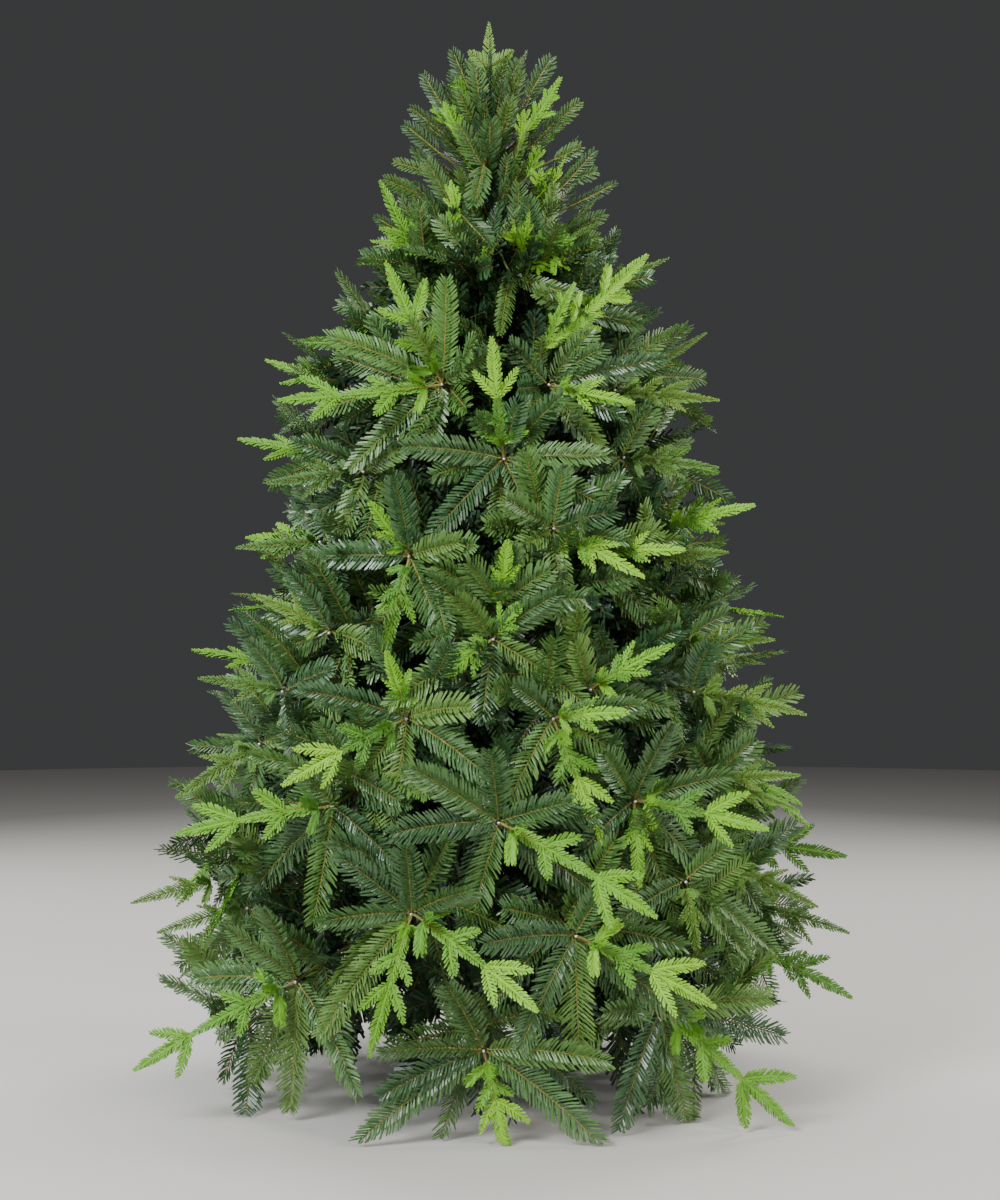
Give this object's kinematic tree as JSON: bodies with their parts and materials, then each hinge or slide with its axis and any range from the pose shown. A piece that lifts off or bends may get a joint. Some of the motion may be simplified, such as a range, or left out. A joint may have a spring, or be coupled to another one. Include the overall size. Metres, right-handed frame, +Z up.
{
  "type": "artificial christmas tree",
  "caption": "Full undecorated artificial fir tree with moulded light green tips over dark needles, on a plain steel stand with splayed legs.",
  "frame": {"origin": "on the floor under the pole's axis, in the middle between the stand's four feet", "axes": "+Z up along the pole; -Y is the side the picture shows; +X is to the right in the picture"},
  "size_m": [1.4087, 1.3855, 2.1],
  "materials": {
    "pole_paint": "dark green powder coat, satin",
    "bough_wire": "wire wound with brown-green film, matt",
    "needles": "dark green film needles and light green moulded tips, satin",
    "stand_paint": "dark green powder coat, satin",
    "foot_rubber": "matt black rubber",
    "screw_steel": "zinc plated steel"
  },
  "bodies": {
    "root": {"bough_1_1": "bough_wire", "bough_1_2": "bough_wire", "bough_1_3": "bough_wire", "bough_1_4": "bough_wire", "bough_1_5": "bough_wire", "bough_1_6": "bough_wire", "bough_2_1": "bough_wire", "bough_2_2": "bough_wire", "bough_2_3": "bough_wire", "bough_2_4": "bough_wire", "bough_2_5": "bough_wire", "bough_3_1": "bough_wire", "bough_3_2": "bough_wire", "bough_3_3": "bough_wire", "bough_3_4": "bough_wire", "bough_3_5": "bough_wire", "bough_4_1": "bough_wire", "bough_4_2": "bough_wire", "bough_4_3": "bough_wire", "bough_4_4": "bough_wire", "bough_5_1": "bough_wire", "bough_5_2": "bough_wire", "bough_5_3": "bough_wire", "foliage_1_1": "needles", "foliage_1_2": "needles", "foliage_1_3": "needles", "foliage_1_4": "needles", "foliage_1_5": "needles", "foliage_1_6": "needles", "foliage_2_1": "needles", "foliage_2_2": "needles", "foliage_2_3": "needles", "foliage_2_4": "needles", "foliage_2_5": "needles", "foliage_3_1": "needles", "foliage_3_2": "needles", "foliage_3_3": "needles", "foliage_3_4": "needles", "foliage_3_5": "needles", "foliage_4_1": "needles", "foliage_4_2": "needles", "foliage_4_3": "needles", "foliage_4_4": "needles", "foliage_5_1": "needles", "foliage_5_2": "needles", "foliage_5_3": "needles", "foliage_top": "needles", "stand_foot_1": "foot_rubber", "stand_foot_2": "foot_rubber", "stand_foot_3": "foot_rubber", "stand_foot_4": "foot_rubber", "stand_leg_1": "stand_paint", "stand_leg_2": "stand_paint", "stand_leg_3": "stand_paint", "stand_leg_4": "stand_paint", "stand_screw_1": "screw_steel", "stand_screw_2": "screw_steel", "stand_socket": "stand_paint", "trunk": "pole_paint"}
  },
  "joints": []
}
